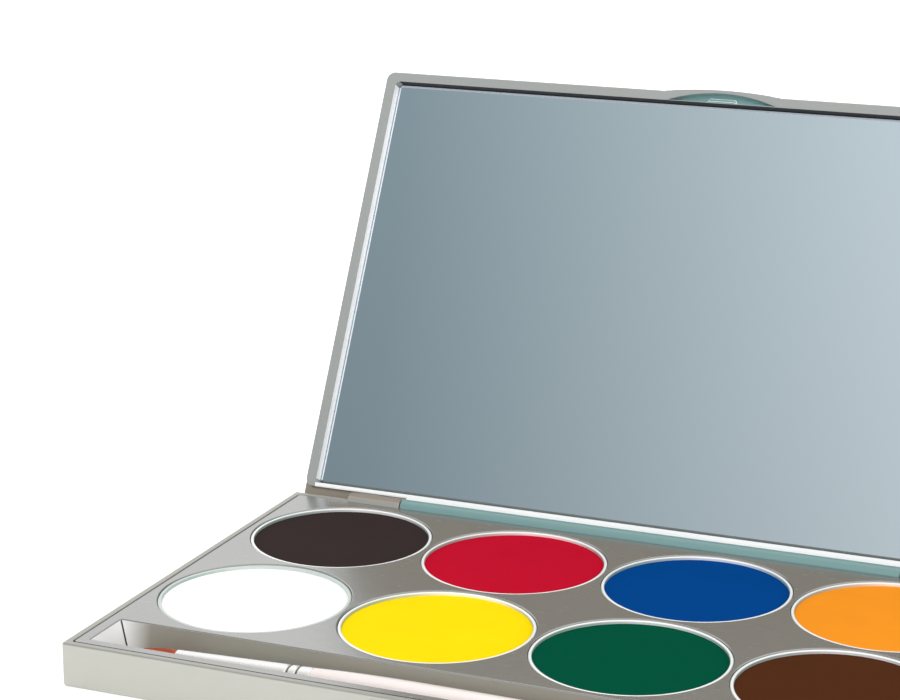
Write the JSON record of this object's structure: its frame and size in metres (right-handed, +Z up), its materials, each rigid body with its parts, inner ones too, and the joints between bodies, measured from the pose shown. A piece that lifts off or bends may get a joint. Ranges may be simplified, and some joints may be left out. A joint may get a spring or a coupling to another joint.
{
  "type": "face paint palette",
  "caption": "Flat silver palette case with a hinged mirror lid, round pans of face paint in a tray and a brush in a trough along the front.",
  "frame": {"origin": "centre of the base's outline at the level of its flat underside", "axes": "+Z up out of the paints, +X to the right along the hinge, -Y towards the free front edge and the brush"},
  "size_m": [0.167, 0.1565, 0.0994],
  "materials": {
    "base_shell": "satin metallised silver moulding",
    "insert_tray": "satin metallised silver plate with bright well walls",
    "pan_white": "bright metallised cup",
    "paint_white": "soft matt cake of water-based face paint",
    "pan_yellow": "bright metallised cup",
    "paint_yellow": "soft matt cake of water-based face paint",
    "pan_green": "bright metallised cup",
    "paint_green": "soft matt cake of water-based face paint",
    "pan_brown": "bright metallised cup",
    "paint_brown": "soft matt cake of water-based face paint",
    "pan_black": "bright metallised cup",
    "paint_black": "soft matt cake of water-based face paint",
    "pan_red": "bright metallised cup",
    "paint_red": "soft matt cake of water-based face paint",
    "pan_blue": "bright metallised cup",
    "paint_blue": "soft matt cake of water-based face paint",
    "pan_orange": "bright metallised cup",
    "paint_orange": "soft matt cake of water-based face paint",
    "lid_shell": "satin metallised silver moulding",
    "mirror": "clear silvered glass",
    "mirror_pad": "white foam tape",
    "hinge_pin_left": "drawn steel wire",
    "hinge_pin_right": "drawn steel wire",
    "brush_ferrule": "polished sleeve with two crimps",
    "brush_handle": "glossy pale enamel on wood",
    "brush_hair": "fine orange-brown filament"
  },
  "bodies": {
    "base": {"base_shell": "base_shell", "insert_tray": "insert_tray", "hinge_pin_left": "hinge_pin_left", "hinge_pin_right": "hinge_pin_right"},
    "lid": {"lid_shell": "lid_shell", "mirror": "mirror", "mirror_pad": "mirror_pad"},
    "brush": {"brush_hair": "brush_hair", "brush_ferrule": "brush_ferrule", "brush_handle": "brush_handle"},
    "refill_white": {"pan_white": "pan_white", "paint_white": "paint_white"},
    "refill_yellow": {"pan_yellow": "pan_yellow", "paint_yellow": "paint_yellow"},
    "refill_green": {"pan_green": "pan_green", "paint_green": "paint_green"},
    "refill_brown": {"pan_brown": "pan_brown", "paint_brown": "paint_brown"},
    "refill_black": {"pan_black": "pan_black", "paint_black": "paint_black"},
    "refill_red": {"pan_red": "pan_red", "paint_red": "paint_red"},
    "refill_blue": {"pan_blue": "pan_blue", "paint_blue": "paint_blue"},
    "refill_orange": {"pan_orange": "pan_orange", "paint_orange": "paint_orange"}
  },
  "joints": [
    {"name": "lid_hinge", "type": "hinge", "parent": "base", "child": "lid", "pos_m": [0, 0.0515, 0.0084], "axis": [-1, 0, 0], "range_deg": [-118.2, 0]},
    {"name": "brush_lift", "type": "slide", "parent": "base", "child": "brush", "axis": [0, 0, 1], "range_m": [0, 0.02]},
    {"name": "refill_white_lift", "type": "slide", "parent": "base", "child": "refill_white", "axis": [0, 0, 1], "range_m": [0, 0.012]},
    {"name": "refill_yellow_lift", "type": "slide", "parent": "base", "child": "refill_yellow", "axis": [0, 0, 1], "range_m": [0, 0.012]},
    {"name": "refill_green_lift", "type": "slide", "parent": "base", "child": "refill_green", "axis": [0, 0, 1], "range_m": [0, 0.012]},
    {"name": "refill_brown_lift", "type": "slide", "parent": "base", "child": "refill_brown", "axis": [0, 0, 1], "range_m": [0, 0.012]},
    {"name": "refill_black_lift", "type": "slide", "parent": "base", "child": "refill_black", "axis": [0, 0, 1], "range_m": [0, 0.012]},
    {"name": "refill_red_lift", "type": "slide", "parent": "base", "child": "refill_red", "axis": [0, 0, 1], "range_m": [0, 0.012]},
    {"name": "refill_blue_lift", "type": "slide", "parent": "base", "child": "refill_blue", "axis": [0, 0, 1], "range_m": [0, 0.012]},
    {"name": "refill_orange_lift", "type": "slide", "parent": "base", "child": "refill_orange", "axis": [0, 0, 1], "range_m": [0, 0.012]}
  ]
}
